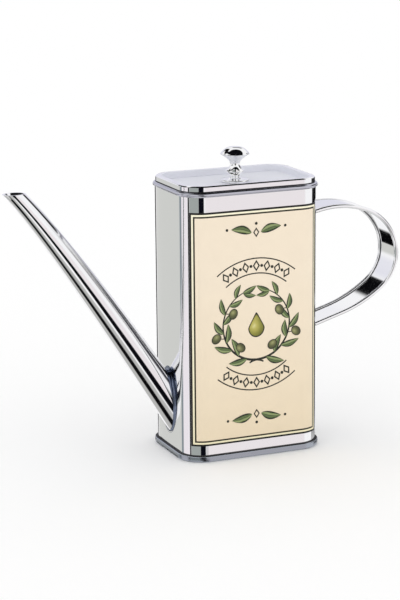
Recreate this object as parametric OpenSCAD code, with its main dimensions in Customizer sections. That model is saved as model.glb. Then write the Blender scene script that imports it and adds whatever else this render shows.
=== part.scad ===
// Rectangular oil can in polished sheet steel, with a long pouring spout on the left wall,
// a strap handle on the right wall and a lift-off plug lid with a turned knob.
// +Z is up, the can stands on Z = 0, the spout points to -X and the label faces -Y.

/* [Body] */
// Width of the body over its flat side walls
body_w = 76; // [60:0.5:110]
// Depth of the body over its front and back walls
body_d = 52.3; // [44:0.1:90]
// Radius of the four upright corners, outside
corner_r = 12; // [11:0.1:20]
// Thickness of the sheet that body, base and lid are made from
sheet = 0.6; // [0.4:0.05:1]
// Height of the top of the rolled mouth bead above the table
mouth_z = 140.3; // [110:0.1:220]
// Radius of the rolled mouth bead
bead_r = 1.25; // [1:0.05:2]
// How far the middle of the bead lies inside the outer face
bead_in = 0.15; // [0:0.05:0.5]

/* [Base] */
// Height of the seam ring round the foot
seam_h = 3.2; // [2.4:0.1:5]
// How far the seam ring stands out from the body
seam_out = 1.5; // [0.8:0.1:2.5]
// Height of the gap under the sunk floor
floor_lift = 2.2; // [1:0.1:3]
// Height of the lower edge of the sleeve inside the seam
sleeve_foot = 1.2; // [0.8:0.1:2]
// Rounding of the edges of the seam ring
seam_edge = 0.65; // [0.2:0.05:0.7]

/* [Spout] */
// Distance from the left wall to the middle of the spout's mouth
spout_reach = 81.3; // [60:0.1:110]
// Height of the flat cut at the spout's mouth
spout_top = 142.7; // [100:0.1:200]
// Height of the middle of the spout where it meets the wall
root_z = 27.9; // [22:0.1:50]
// Distance from the wall to the point that bends the centre line
bow_x = 59; // [40:0.5:75]
// Height of the point that bends the centre line
bow_z = 118; // [90:0.5:140]
// Outside radius of the spout at its mouth
spout_tip_r = 4.3; // [3.4:0.05:7]
// Outside radius of the spout at the wall
spout_root_r = 8.45; // [7:0.05:11]
// Power of the taper, 1 is a straight cone
taper_power = 1.2; // [1:0.05:1.6]
// Thickness of the spout's tube
spout_wall = 0.7; // [0.5:0.05:1]

/* [Handle] */
// Width of the strap over both rolled edges
strap_w = 20.2; // [14:0.1:24]
// Thickness of the strap between its rolled edges
strap_t = 0.9; // [0.6:0.05:1.4]
// Radius of each rolled edge
roll_r = 1.1; // [0.8:0.05:1.4]
// How far each rolled edge stands out over the strap's outer face
roll_out = 0.3; // [0.05:0.05:0.6]
// Height of the bend of the upper foot
foot_top_z = 119.5; // [90:0.5:130]
// Length of each foot that lies on the wall
foot_len = 11; // [7:0.5:16]
// Radius of the bend between a foot and the strap
foot_bend = 3; // [2.5:0.5:4]
// Radius of the crest of the handle
crest_r = 49.5; // [42:0.5:56]
// Radius of the shoulder after the crest
shoulder_r = 28.2; // [22:0.1:32]
// Radius of the tight turn at the far end
turn_r = 23; // [18:0.5:26]
// Radius of the long curve back to the body
return_r = 73; // [60:0.5:90]

/* [Lid] */
// Height of the lid's rim over the mouth bead
rim_h = 3; // [2.4:0.1:6]
// Width of the raised rim round the sunk panel
rim_w = 3.4; // [3:0.1:6]
// How far the lid's outer face lies inside the body's outer face
lid_in = 0.4; // [0.2:0.05:0.8]
// Depth of the sunk panel below the top of the rim
panel_drop = 3.3; // [2.6:0.1:5]
// Length of the plug skirt below the top of the mouth bead
skirt_len = 8.3; // [6:0.1:14]
// Gap between the skirt and the mouth bead
skirt_gap = 0.3; // [0.2:0.05:0.6]

/* [Knob] */
// Height of the knob over the sunk panel
knob_h = 18.2; // [14:0.1:26]
// Radius of the knob's cap
cap_r = 7.55; // [5:0.05:11]
// Radius of the knob's foot
knob_foot_r = 7.4; // [5:0.05:10]
// Radius of the collar ring at a third of the height
collar_r = 4.55; // [3.4:0.05:6]
// Radius of the slim neck under the cap
neck_r = 2.5; // [2.2:0.05:3.2]
// Radius of the screw's shank
screw_r = 1.45; // [1.2:0.05:1.5]

/* [Label] */
// Height of the label's lower edge
label_low = 8.3; // [5:0.1:30]
// Height of the label's upper edge
label_high = 130.15; // [80:0.1:134]
// Angle that the label runs round each front corner
label_turn = 48; // [20:1:80]
// Thickness of the label
label_t = 0.15; // [0.1:0.05:0.3]

/* [Hidden] */
bead_z = mouth_z - bead_r;
left_x = -body_w / 2;
floor_top = floor_lift + sheet;
fit = 0.05;
hole_slack = 0.2;
rim_top = mouth_z + rim_h;
panel_top = rim_top - panel_drop;
panel_low = panel_top - sheet;
skirt_out = -(bead_in + bead_r + skirt_gap);
skirt_foot = mouth_z - skirt_len;
flange_in = -min(8, corner_r - 3);
washer_t = 0.5;
washer_r = 3.6;
head_h = 1.8;
head_r = 2.8;
shank_up = 5.4;

// Points of an arc about [cx, cy], from angle a to angle b in n steps
function arc(cx, cy, r, a, b, n) =
    [for (i = [0:n]) [cx + r * cos(a + (b - a) * i / n), cy + r * sin(a + (b - a) * i / n)]];

// Carries a flat profile round a rectangle with rounded corners.
// The profile's x = 0 is the outer face and its y is the height.
module carry_round(w, d, r) {
    for (q = [[1, 1, 0], [-1, 1, 90], [-1, -1, 180], [1, -1, 270]])
        translate([q[0] * (w / 2 - r), q[1] * (d / 2 - r), 0])
            rotate([0, 0, q[2]])
                rotate_extrude(angle = 90)
                    translate([r, 0])
                        children();
    for (turn = [0, 180])
        rotate([0, 0, turn]) {
            translate([w / 2, d / 2 - r, 0])
                rotate([90, 0, 0])
                    linear_extrude(d - 2 * r)
                        children();
            rotate([0, 0, 90])
                translate([d / 2, w / 2 - r, 0])
                    rotate([90, 0, 0])
                        linear_extrude(w - 2 * r)
                            children();
        }
}

// A flat sheet with rounded corners
module round_sheet(w, d, r, h) {
    translate([-w / 2, -d / 2 + r, 0])
        cube([w, d - 2 * r, h]);
    translate([-w / 2 + r, -d / 2, 0])
        cube([w - 2 * r, d, h]);
    for (x = [-1, 1], y = [-1, 1])
        translate([x * (w / 2 - r), y * (d / 2 - r), 0])
            cylinder(h = h, r = r, $fn = 96);
}

// Body: one sheet bent to a sleeve, its top edge rolled outward to a bead

// Where the straight sheet runs into the round bead
bead_cut = asin(max(-1, min(1, (sheet - bead_in) / bead_r)));
bead_cut_out = asin(max(-1, min(1, bead_in / bead_r)));

module sleeve_profile() {
    polygon(concat(
        [[-sheet, sleeve_foot], [0, sleeve_foot]],
        arc(-bead_in, bead_z, bead_r, -90 + bead_cut_out, 270 - bead_cut, 28)));
}

// The round hole that lets oil into the spout, bored along the spout's root
module spout_hole() {
    slope = atan2(bow_z - root_z, bow_x);
    translate([left_x, 0, root_z])
        rotate([0, -(90 - slope), 0])
            cylinder(h = 60, r = spout_root_r - spout_wall - 0.5, center = true, $fn = 96);
}

module body_shell() {
    color([0.80, 0.80, 0.81])
        difference() {
            carry_round(body_w, body_d, corner_r)
                sleeve_profile();
            spout_hole();
        }
}

// Base: a drawn pan whose edge is folded over the sleeve into a seam ring

module seam_profile() {
    e = seam_edge;
    polygon(concat(
        arc(seam_out - e, e, e, -90, 0, 6),
        arc(seam_out - e, seam_h - e, e, 0, 90, 6),
        [[0, seam_h], [0, sleeve_foot], [-sheet, sleeve_foot], [-sheet, floor_top],
         [-2 * sheet, floor_top], [-2 * sheet, floor_lift]],
        arc(-2 * sheet + e / 2, e / 2, e / 2, 180, 270, 4)));
}

module base_plate() {
    pan = 4 * sheet;
    color([0.62, 0.64, 0.67])
        union() {
            carry_round(body_w, body_d, corner_r)
                seam_profile();
            translate([0, 0, floor_lift])
                round_sheet(body_w - pan, body_d - pan, corner_r - pan / 2, sheet);
        }
}

// Spout: a tapered tube on a bowed centre line, cut level at the mouth and flat at the wall

tip = [left_x - spout_reach, spout_top - 0.15];
bow = [left_x - bow_x, bow_z];
root = [left_x - sheet, root_z];

function mid(t) = (1 - t) * (1 - t) * tip + 2 * t * (1 - t) * bow + t * t * root;
function run(t) = 2 * (1 - t) * (bow - tip) + 2 * t * (root - bow);
function side(t) = [-run(t)[1], run(t)[0]] / norm(run(t));
function tube_r(t, in) =
    spout_tip_r + (spout_root_r - spout_tip_r) * pow(max(t, 0), taper_power) - in;

// A line along the tube's skin, k from -1 (under the spout) to 1 (on top of it)
function skin(t, k, in) = mid(t) + k * tube_r(t, in) * side(t);

// The place on such a line where it meets the mouth plane or the wall plane, found by halving
function at_mouth(k, in, a = -0.3, b = 0.4, n = 24) =
    n == 0 ? (a + b) / 2
    : skin((a + b) / 2, k, in)[1] > spout_top ? at_mouth(k, in, (a + b) / 2, b, n - 1)
    : at_mouth(k, in, a, (a + b) / 2, n - 1);
function at_wall(k, in, a = 0.6, b = 1.4, n = 24) =
    n == 0 ? (a + b) / 2
    : skin((a + b) / 2, k, in)[0] < left_x ? at_wall(k, in, (a + b) / 2, b, n - 1)
    : at_wall(k, in, a, (a + b) / 2, n - 1);

sides = 48;
rings = 26;

// One ring of the tube, from the mouth at i = 0 to the wall at i = rings
function tube_ring(i, in) =
    [for (j = [0:sides - 1])
        let (
            turn = 360 * j / sides,
            k = cos(turn),
            a = at_mouth(k, in),
            t = a + (at_wall(k, in) - a) * i / rings,
            p = skin(t, k, in)
        )
        [i == rings ? left_x : p[0], tube_r(t, in) * sin(turn), i == 0 ? spout_top : p[1]]];

module spout_tube() {
    outer = [for (i = [0:rings]) each tube_ring(i, 0)];
    inner = [for (i = [0:rings]) each tube_ring(i, spout_wall)];
    n = len(outer);
    skins = [for (i = [0:rings - 1], j = [0:sides - 1])
        let (a = i * sides + j, b = i * sides + (j + 1) % sides)
        each [[a, b, b + sides], [a, b + sides, a + sides],
              [n + a, n + b + sides, n + b], [n + a, n + a + sides, n + b + sides]]];
    mouth = [for (j = [0:sides - 1])
        let (b = (j + 1) % sides)
        each [[j, n + j, n + b], [j, n + b, b]]];
    last = rings * sides;
    wall = [for (j = [0:sides - 1])
        let (a = last + j, b = last + (j + 1) % sides)
        each [[a, n + b, n + a], [a, b, n + b]]];
    color([0.80, 0.80, 0.81])
        polyhedron(points = concat(outer, inner), faces = concat(skins, mouth, wall));
}

// Handle: a strap with both edges rolled, bent along a chain of arcs between two flat feet

// Headings come from the 3-4-5 triangle, so their sines are short decimals and
// the ends of neighbouring arcs meet exactly
tri = acos(0.8);
rise = 90 - 2 * tri;
back_slope = 90 - 2 * tri;

// Each arc is [radius, degrees], turning clockwise as seen from the front
arcs = [[foot_bend, 90 - rise], [crest_r, tri], [shoulder_r, 90 - tri],
        [turn_r, 180 - 3 * tri], [return_r, 90 - back_slope - (90 - tri)]];
wall_x = body_w / 2;
web_x = wall_x + strap_t / 2;

// Centre of the arc that starts at p with heading h and turns clockwise
function hub(p, h, r) = [p[0] + r * sin(h), p[1] - r * cos(h)];
function step(p, h, r, s) =
    [hub(p, h, r)[0] - r * sin(h - s), hub(p, h, r)[1] + r * cos(h - s)];

// Start of arc i as [x, z, heading]
function start(i) =
    i == 0 ? [web_x, foot_top_z, 90]
    : let (s = start(i - 1), q = step(s, s[2], arcs[i - 1][0], arcs[i - 1][1]))
      [q[0], q[1], s[2] - arcs[i - 1][1]];

// The straight run back to the lower foot, to the hundredth below what reaches the wall
back = start(5);
back_h = back[2];
bend_dx = foot_bend * (1 - sin(back_slope));
back_len = floor(100 * (back[0] - web_x - bend_dx) / cos(back_slope)) / 100;
back_end = [back[0] + back_len * cos(back_h), back[1] + back_len * sin(back_h)];
low_web_x = back_end[0] - bend_dx;
low_foot_z = back_end[1] - foot_bend * cos(back_slope);

// Cross section with y across the strap and x away from the finger side.
// Both edges are rolled toward the fingers and stand out only a little on the outer face.
module rolled_section() {
    b = strap_w / 2 - roll_r;
    c = strap_t / 2 + roll_out - roll_r;
    outer = acos(max(-1, (roll_r - roll_out) / roll_r));
    inner = acos(max(-1, (roll_r - strap_t - roll_out) / roll_r));
    polygon(concat(
        arc(c, b, roll_r, -outer, 360 - inner, 20),
        arc(c, -b, roll_r, inner, 360 + outer, 20)));
}

module flat_section() {
    square([strap_t, strap_w - 2 * roll_r], center = true);
}

// Turns a section round the hub of a clockwise arc: a half ring, cut off square at its end
module bend_arc(p, h, r, s) {
    c = hub(p, h, r);
    far = 2 * (r + strap_w);
    translate([c[0], 0, c[1]])
        rotate([90, 0, 0])
            difference() {
                rotate([0, 0, h - 90])
                    rotate_extrude(angle = 180)
                        translate([r, 0])
                            children();
                rotate([0, 0, 90 + h - s])
                    translate([-far, -far, -strap_w])
                        cube([2 * far, far, 2 * strap_w]);
            }
}

// A flat tab with a round end that is spot-welded to the wall
module foot(x, z_high) {
    w = strap_w - 2 * roll_r;
    z_mid = z_high - max(0.5, foot_len - w / 2);
    translate([x - strap_t / 2, -w / 2, z_mid])
        cube([strap_t, w, z_high - z_mid]);
    difference() {
        translate([x - strap_t / 2, 0, z_mid])
            rotate([0, 90, 0])
                cylinder(h = strap_t, r = w / 2, $fn = 96);
        translate([x - strap_t, -w, z_mid])
            cube([2 * strap_t, 2 * w, w]);
    }
}

module handle_strap() {
    color([0.80, 0.80, 0.81])
        union() {
            foot(web_x, foot_top_z);
            bend_arc(start(0), 90, arcs[0][0], arcs[0][1])
                flat_section();
            for (i = [1:4])
                bend_arc(start(i), start(i)[2], arcs[i][0], arcs[i][1])
                    rolled_section();
            translate([back[0], 0, back[1]])
                rotate([0, 90 - back_h, 0])
                    linear_extrude(back_len)
                        rolled_section();
            bend_arc([low_web_x, low_foot_z], 90, foot_bend, 90 - back_slope)
                flat_section();
            foot(low_web_x, low_foot_z);
        }
}

// Label: a thin printed skin over the front wall and round part of both front corners

module label_profile() {
    translate([0, label_low])
        square([label_t, label_high - label_low]);
}

module front_label() {
    color([0.95, 0.89, 0.78])
        union() {
            rotate([0, 0, -90])
                translate([body_d / 2, body_w / 2 - corner_r, 0])
                    rotate([90, 0, 0])
                        linear_extrude(body_w - 2 * corner_r)
                            label_profile();
            for (left = [0, 1])
                mirror([left, 0, 0])
                    translate([body_w / 2 - corner_r, -body_d / 2 + corner_r, 0])
                        rotate([0, 0, -90])
                            rotate_extrude(angle = label_turn)
                                translate([corner_r, 0])
                                    label_profile();
        }
}

// Lid: a drawn pan with a raised hollow rim round a sunk panel

module rim_profile() {
    o = -lid_in;
    i = -lid_in - rim_w;
    big = 1;
    small = big - sheet;
    foot_r = 0.7;
    polygon(concat(
        [[o, mouth_z]],
        arc(o - big, rim_top - big, big, 0, 90, 8),
        arc(i + big, rim_top - big, big, 90, 180, 8),
        arc(i - foot_r, panel_top + foot_r, foot_r, 0, -90, 6),
        arc(i - foot_r, panel_top + foot_r, foot_r + sheet, -90, 0, 6),
        arc(i + big, rim_top - big, small, 180, 90, 5),
        arc(o - big, rim_top - big, small, 90, 0, 5),
        [[o - sheet, mouth_z]]));
}

module lid_cap() {
    inset = lid_in + rim_w + 0.7;
    color([0.86, 0.86, 0.88])
        difference() {
            union() {
                carry_round(body_w, body_d, corner_r)
                    rim_profile();
                translate([0, 0, panel_low])
                    round_sheet(body_w - 2 * inset, body_d - 2 * inset, corner_r - inset, sheet);
            }
            translate([0, 0, panel_low - 1])
                cylinder(h = sheet + 2, r = screw_r + hole_slack, $fn = 48);
        }
}

// Skirt: an angle ring under the panel that plugs the mouth

module skirt_profile() {
    bend = 1;
    lead = 0.3;
    polygon(concat(
        [[flange_in, panel_low - sheet], [flange_in, panel_low]],
        arc(skirt_out - bend, panel_low - bend, bend, 90, 0, 6),
        [[skirt_out, skirt_foot + lead], [skirt_out - lead, skirt_foot],
         [skirt_out - sheet, skirt_foot]],
        arc(skirt_out - bend, panel_low - bend, bend - sheet, 0, 90, 4)));
}

module lid_skirt() {
    color([0.78, 0.78, 0.80])
        carry_round(body_w, body_d, corner_r)
            skirt_profile();
}

// Knob: turned in one piece, a thin domed cap on a waisted stem with a collar ring

module knob_profile() {
    h = knob_h;
    foot_t = 1.3;
    collar_z = 0.3 * h;
    cap_z = 0.79 * h;
    dome = h - cap_z - 0.3;
    low_neck = neck_r - 0.3;
    waist_z = 0.53 * h;
    polygon(concat(
        [[screw_r + fit, 0]],
        arc(knob_foot_r - foot_t / 2, foot_t / 2, foot_t / 2, -90, 80, 8),
        // hollow sweep from the foot up to the lower neck
        [for (i = [1:8]) let (f = i / 8, g = 1 - f)
            [low_neck + (knob_foot_r - foot_t / 2 - low_neck) * pow(g, 2.6),
             foot_t + (0.155 * h - foot_t) * pow(f, 1.1)]],
        // lower cone of the collar
        [for (i = [1:6]) let (f = i / 6)
            [low_neck + (collar_r - low_neck) * pow(f, 1.25), 0.155 * h + (collar_z - 0.4 - 0.155 * h) * f]],
        arc(collar_r - 0.05, collar_z, 0.35, -60, 60, 4),
        // hollow sweep from the collar up to the slim neck
        [for (i = [1:10]) let (f = i / 10, g = 1 - f)
            [neck_r + (collar_r - 0.15 - neck_r) * g * g, collar_z + 0.4 + (waist_z - collar_z - 0.4) * f]],
        // flare from the slim neck to the edge of the cap
        [for (i = [1:12]) let (f = i / 12)
            [neck_r + (cap_r - 0.1 - neck_r) * pow(f, 1.7), waist_z + (cap_z - waist_z) * f]],
        arc(cap_r - 0.15, cap_z + 0.15, 0.15, -60, 60, 4),
        // domed top, flatter in the middle than a ball
        [for (i = [1:16]) let (u = 1 - i / 16)
            [cap_r * u, h - dome * pow(u, 3)]],
        [[0, shank_up + 0.8], [screw_r + fit, shank_up + 0.4]]));
}

module lid_knob() {
    color([0.88, 0.88, 0.89])
        translate([0, 0, panel_top])
            rotate_extrude($fn = 96)
                knob_profile();
}

// Screw and washer: hold the knob from inside the lid

module knob_washer() {
    color([0.70, 0.70, 0.72])
        translate([0, 0, panel_low - washer_t])
            difference() {
                cylinder(h = washer_t, r = washer_r, $fn = 72);
                translate([0, 0, -1])
                    cylinder(h = washer_t + 2, r = screw_r + fit, $fn = 48);
            }
}

module knob_screw() {
    seat = panel_low - washer_t;
    color([0.70, 0.70, 0.72])
        difference() {
            union() {
                translate([0, 0, seat - head_h])
                    cylinder(h = head_h, r1 = head_r - 0.5, r2 = head_r, $fn = 72);
                translate([0, 0, seat - 0.3])
                    cylinder(h = panel_top + shank_up - seat + 0.3, r = screw_r, $fn = 48);
            }
            for (turn = [0, 90])
                translate([0, 0, seat - head_h])
                    rotate([0, 0, turn])
                        cube([3.2, 0.7, 1.6], center = true);
        }
}

body_shell();
base_plate();
spout_tube();
handle_strap();
front_label();
lid_cap();
lid_skirt();
lid_knob();
knob_screw();
knob_washer();
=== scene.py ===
import bpy
import bmesh
import numpy as np
from math import radians, degrees
from mathutils import Matrix, Vector


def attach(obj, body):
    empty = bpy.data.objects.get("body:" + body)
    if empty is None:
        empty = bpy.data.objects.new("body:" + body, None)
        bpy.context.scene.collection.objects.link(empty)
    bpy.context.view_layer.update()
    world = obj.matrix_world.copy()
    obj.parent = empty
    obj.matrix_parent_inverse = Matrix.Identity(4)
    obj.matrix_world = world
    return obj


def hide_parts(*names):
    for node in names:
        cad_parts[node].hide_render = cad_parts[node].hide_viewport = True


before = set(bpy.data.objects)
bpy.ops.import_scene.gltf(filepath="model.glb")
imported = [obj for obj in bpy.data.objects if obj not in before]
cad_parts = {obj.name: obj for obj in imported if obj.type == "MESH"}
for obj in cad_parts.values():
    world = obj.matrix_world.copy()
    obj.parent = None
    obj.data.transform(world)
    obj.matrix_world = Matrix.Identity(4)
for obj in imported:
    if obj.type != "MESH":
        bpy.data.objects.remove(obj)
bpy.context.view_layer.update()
scene = bpy.context.scene
print("frame loaded:", len(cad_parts), "nodes")

# all lengths in the dictionaries are millimetres; meshes are made in metres
mm = 0.001

body = dict(width=76.0, depth=52.3, corner=12.0, sheet=0.6, mouthTop=140.3, beadRadius=1.25, beadIn=0.15, foot=1.2, bulge=0.14)


# small tools

# turns an sRGB hex colour into the linear values that Blender's sockets hold
def linear(hexColour, alpha=1.0):
    parts = [int(hexColour[i:i + 2], 16) / 255 for i in (0, 2, 4)]
    return tuple(p / 12.92 if p <= 0.04045 else ((p + 0.055) / 1.055) ** 2.4 for p in parts) + (alpha,)


# adds one node: settings are its own properties, inputs are values or sockets to link from
def addNode(tree, kind, inputs=None, **settings):
    node = tree.nodes.new(kind)
    for key, value in settings.items():
        setattr(node, key, value)
    for key, value in (inputs or {}).items():
        if isinstance(value, bpy.types.NodeSocket):
            tree.links.new(value, node.inputs[key])
        else:
            node.inputs[key].default_value = value
    return node


# a grid of points, rows by columns, becomes a mesh of quads; either way round may be closed into a loop
def gridMesh(name, points, closeRows=False, closeColumns=False, capFirst=False, capLast=False, uv=None, flip=False):
    rows, columns = points.shape[:2]
    i = np.arange(rows if closeRows else rows - 1)[:, None]
    j = np.arange(columns if closeColumns else columns - 1)[None, :]
    nextI, nextJ = (i + 1) % rows, (j + 1) % columns
    quads = np.stack([i * columns + j, i * columns + nextJ, nextI * columns + nextJ, nextI * columns + j], axis=-1).reshape(-1, 4)
    if flip:
        quads = quads[:, ::-1]
    faces = quads.tolist()
    firstRing, lastRing = list(range(columns)), list(range((rows - 1) * columns, rows * columns))
    if capFirst:
        faces.append(firstRing if flip else firstRing[::-1])
    if capLast:
        faces.append(lastRing[::-1] if flip else lastRing)
    mesh = bpy.data.meshes.new(name)
    mesh.from_pydata((points.reshape(-1, 3) * mm).tolist(), [], faces)
    if uv is not None:
        layer = mesh.uv_layers.new(name="flat")
        corner = np.empty(len(mesh.loops), dtype=np.int32)
        mesh.loops.foreach_get("vertex_index", corner)
        layer.data.foreach_set("uv", uv.reshape(-1, 2)[corner].astype(np.float32).ravel())
    return addPiece(name, mesh)


def addPiece(name, mesh):
    mesh.validate()
    piece = bpy.data.objects.new(name, mesh)
    scene.collection.objects.link(piece)
    return piece


# smooth everywhere except where two faces meet at more than this angle
def smoothTo(piece, angle=35):
    piece.data.polygons.foreach_set("use_smooth", np.ones(len(piece.data.polygons), dtype=bool))
    piece.data.set_sharp_from_angle(angle=radians(angle))
    return piece


def finishPiece(piece, bodyName, material, slotName, *nodes):
    piece.data.materials.append(material)
    if nodes:
        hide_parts(*nodes)
    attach(piece, bodyName)
    return piece


# points on a circle about (cx, cy) from angle a to angle b, in degrees
def arc(cx, cy, r, a, b, steps):
    t = np.radians(np.linspace(a, b, steps + 1))
    return np.stack([cx + r * np.cos(t), cy + r * np.sin(t)], axis=-1)


# the outline of the can seen from above, anticlockwise: place and outward normal; the two side walls bulge by
# a parabola that is 0 at the corners
def roundOutline(width, depth, corner, cornerSteps=40, runSteps=6, bulge=0.0):
    places, normals = [], []
    for k, (sx, sy) in enumerate([(1, -1), (1, 1), (-1, 1), (-1, -1)]):
        t = np.radians(np.linspace(-90, 0, cornerSteps + 1) + 90 * k)
        n = np.stack([np.cos(t), np.sin(t)], axis=-1)
        places.append(np.array([sx * (width / 2 - corner), sy * (depth / 2 - corner)]) + corner * n)
        normals.append(n)
    outPlaces, outNormals = [], []
    for k in range(4):
        outPlaces.append(places[k])
        outNormals.append(normals[k])
        f = (np.arange(1, runSteps) / runSteps)[:, None]
        crown = bulge * 4 * f * (1 - f) * normals[k][-1] if k % 2 == 0 else 0
        outPlaces.append(places[k][-1] * (1 - f) + places[(k + 1) % 4][0] * f + crown)
        outNormals.append(np.repeat(normals[k][-1][None, :], runSteps - 1, axis=0))
    return np.vstack(outPlaces), np.vstack(outNormals)


# a flat profile (distance out from the outer face, height) is carried round that outline
def carryRound(name, profile, closeProfile=True, capFirst=False, capLast=False, **outline):
    places, normals = roundOutline(body["width"], body["depth"], body["corner"], **outline)
    out, up = profile[:, 0], profile[:, 1]
    points = np.empty((len(profile), len(places), 3))
    points[:, :, :2] = places[None] + out[:, None, None] * normals[None]
    points[:, :, 2] = up[:, None]
    return gridMesh(name, points, closeRows=closeProfile, closeColumns=True, capFirst=capFirst, capLast=capLast)


# materials

# Mirror-polished stainless steel sheet: buffed after forming, so reflections are sharp but wander a little
# over the flats, with a faint haze of wiping marks
def mirrorSteel(name, colour, roughness=0.05, waveHeight=0.02, waveSize=38.0, haze=0.04, seed=0.0, metallic=1.0):
    material = bpy.data.materials.new(name)
    material.use_nodes = True
    tree = material.node_tree
    tree.nodes.clear()
    place = addNode(tree, "ShaderNodeTexCoord")
    shift = addNode(tree, "ShaderNodeMapping", {"Vector": place.outputs["Object"], "Location": (seed, seed * 0.7, -seed)})
    # the sheet's slow waves, one every waveSize millimetres
    wave = addNode(tree, "ShaderNodeTexNoise", {"Vector": shift.outputs["Vector"], "Scale": 1000 / waveSize, "Detail": 1.0,
                                               "Roughness": 0.4})
    # wiping marks: a fine grain stretched along the height, about 0.6 mm across
    stretch = addNode(tree, "ShaderNodeMapping", {"Vector": place.outputs["Object"], "Scale": (1.0, 1.0, 0.08)})
    wipe = addNode(tree, "ShaderNodeTexNoise", {"Vector": stretch.outputs["Vector"], "Scale": 1000 / 0.6, "Detail": 3.0})
    # soft patches left by handling, about 25 mm across
    patch = addNode(tree, "ShaderNodeTexNoise", {"Vector": shift.outputs["Vector"], "Scale": 1000 / 25, "Detail": 4.0})
    wipeRange = addNode(tree, "ShaderNodeMapRange", {"Value": wipe.outputs["Fac"], "From Min": 0.35, "From Max": 0.75,
                                                    "To Min": 0.0, "To Max": haze * 0.6})
    patchRange = addNode(tree, "ShaderNodeMapRange", {"Value": patch.outputs["Fac"], "From Min": 0.4, "From Max": 0.75,
                                                     "To Min": roughness, "To Max": roughness + haze})
    rough = addNode(tree, "ShaderNodeMath", {0: wipeRange.outputs["Result"], 1: patchRange.outputs["Result"]}, operation="ADD")
    bump = addNode(tree, "ShaderNodeBump", {"Height": wave.outputs["Fac"], "Distance": waveHeight * mm, "Strength": 1.0})
    shader = addNode(tree, "ShaderNodeBsdfPrincipled", {"Base Color": linear(colour), "Metallic": metallic,
                                                       "Roughness": rough.outputs["Value"], "Normal": bump.outputs["Normal"]})
    addNode(tree, "ShaderNodeOutputMaterial", {"Surface": shader.outputs["BSDF"]})
    return material


bodySteel = mirrorSteel("mirrorStainlessSheet", "F6F6F7", roughness=0.045, waveHeight=0.012, waveSize=45)
# the rolled mouth bead: a little duller, and greyer by painted shade on the same steel, so that it parts the lid from
# the wall
beadPaintedShadeSteel = mirrorSteel("rolledBeadPaintedShade", "C0C0CA", roughness=0.12, waveHeight=0.006, waveSize=14, haze=0.08, seed=1.9)
# the base pan and its seam ring: a greyer, bluer copy of the same steel, which is painted shade
baseSeamPaintedShade = mirrorSteel("seamedStainlessPaintedShade", "A6ABB4", roughness=0.16, waveHeight=0.006, waveSize=14, haze=0.08, seed=0.3)
spoutSteel = mirrorSteel("mirrorStainlessTube", "F6F6F7", roughness=0.045, waveHeight=0.008, waveSize=22, seed=0.6)
strapSteel = mirrorSteel("mirrorStainlessStrap", "F6F6F7", roughness=0.045, waveHeight=0.008, waveSize=16, seed=0.9)
lidSteel = mirrorSteel("mirrorStainlessLid", "F6F6F8", roughness=0.045, waveHeight=0.008, waveSize=30, seed=1.2)
knobSteel = mirrorSteel("turnedPolishedSteel", "F6F6F6", roughness=0.03, waveHeight=0.0015, waveSize=5, haze=0.02, seed=1.5)
# blasted finish of the sunk panel: fine pits scatter the light, so it shows pale and even with no clear reflections;
# its faint lavender tint is a painted reflection
panelPaintedReflection = mirrorSteel("blastedPanelPaintedReflection", "EDEEF5", roughness=0.5, waveHeight=0.004, waveSize=30, haze=0.08, seed=2.1,
                         metallic=0.35)
# painted shade: a near-black line at the seat under the lid's edge, also used on the base seam's fold and the strap's
# grooves, where shade falls
paintedCreviceShade = mirrorSteel("creviceShadePainted", "121218", roughness=0.45, waveHeight=0.004, waveSize=6, haze=0.2, seed=2.4, metallic=0.3)
satinSteel = mirrorSteel("satinStainless", "C8C8CA", roughness=0.28, waveHeight=0.004, waveSize=10, haze=0.12, seed=1.8)
# silver braze round the spout's root: its dark blue-grey colour is painted shade and dark reflection of the concave
# fillet; softer than the polished tube
brazePaintedShade = mirrorSteel("brazeWithPaintedShade", "6B7488", roughness=0.12, waveHeight=0.02, waveSize=3.5, haze=0.1, seed=2.7)
print("steels made")

# body


def sleeveProfile():
    s = body
    low, top = s["foot"], s["mouthTop"]
    centre = top - s["beadRadius"]
    outCut = degrees(np.arcsin(s["beadIn"] / s["beadRadius"]))
    inCut = degrees(np.arcsin((s["sheet"] - s["beadIn"]) / s["beadRadius"]))
    roll = arc(-s["beadIn"], centre, s["beadRadius"], -90 + outCut, 270 - inCut, 48)
    wallOut = np.stack([np.zeros(9), np.linspace(low, roll[0, 1], 10)[:-1]], axis=-1)
    wallIn = np.stack([np.full(9, -s["sheet"]), np.linspace(roll[-1, 1], low, 10)[1:]], axis=-1)
    return np.vstack([wallOut, roll, wallIn])


def buildBody():
    shell = carryRound("bodyShell", sleeveProfile(), runSteps=16, bulge=body["bulge"])
    finishPiece(smoothTo(shell), "can", bodySteel, "body_steel", "body_shell")
    # the rolled bead takes the greyer steel: painted shade that sets it off from the walls
    shell.data.materials.append(beadPaintedShadeSteel)
    count = len(shell.data.polygons)
    centre = np.empty(count * 3)
    shell.data.polygons.foreach_get("center", centre)
    beadFoot = (body["mouthTop"] - 2 * body["beadRadius"] - 0.02) * mm
    shell.data.polygons.foreach_set("material_index", (centre[2::3] > beadFoot).astype(np.int32))
    return shell


base = dict(seamHeight=3.2, seamOut=1.5, floorLift=2.2, edge=0.65)


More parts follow.
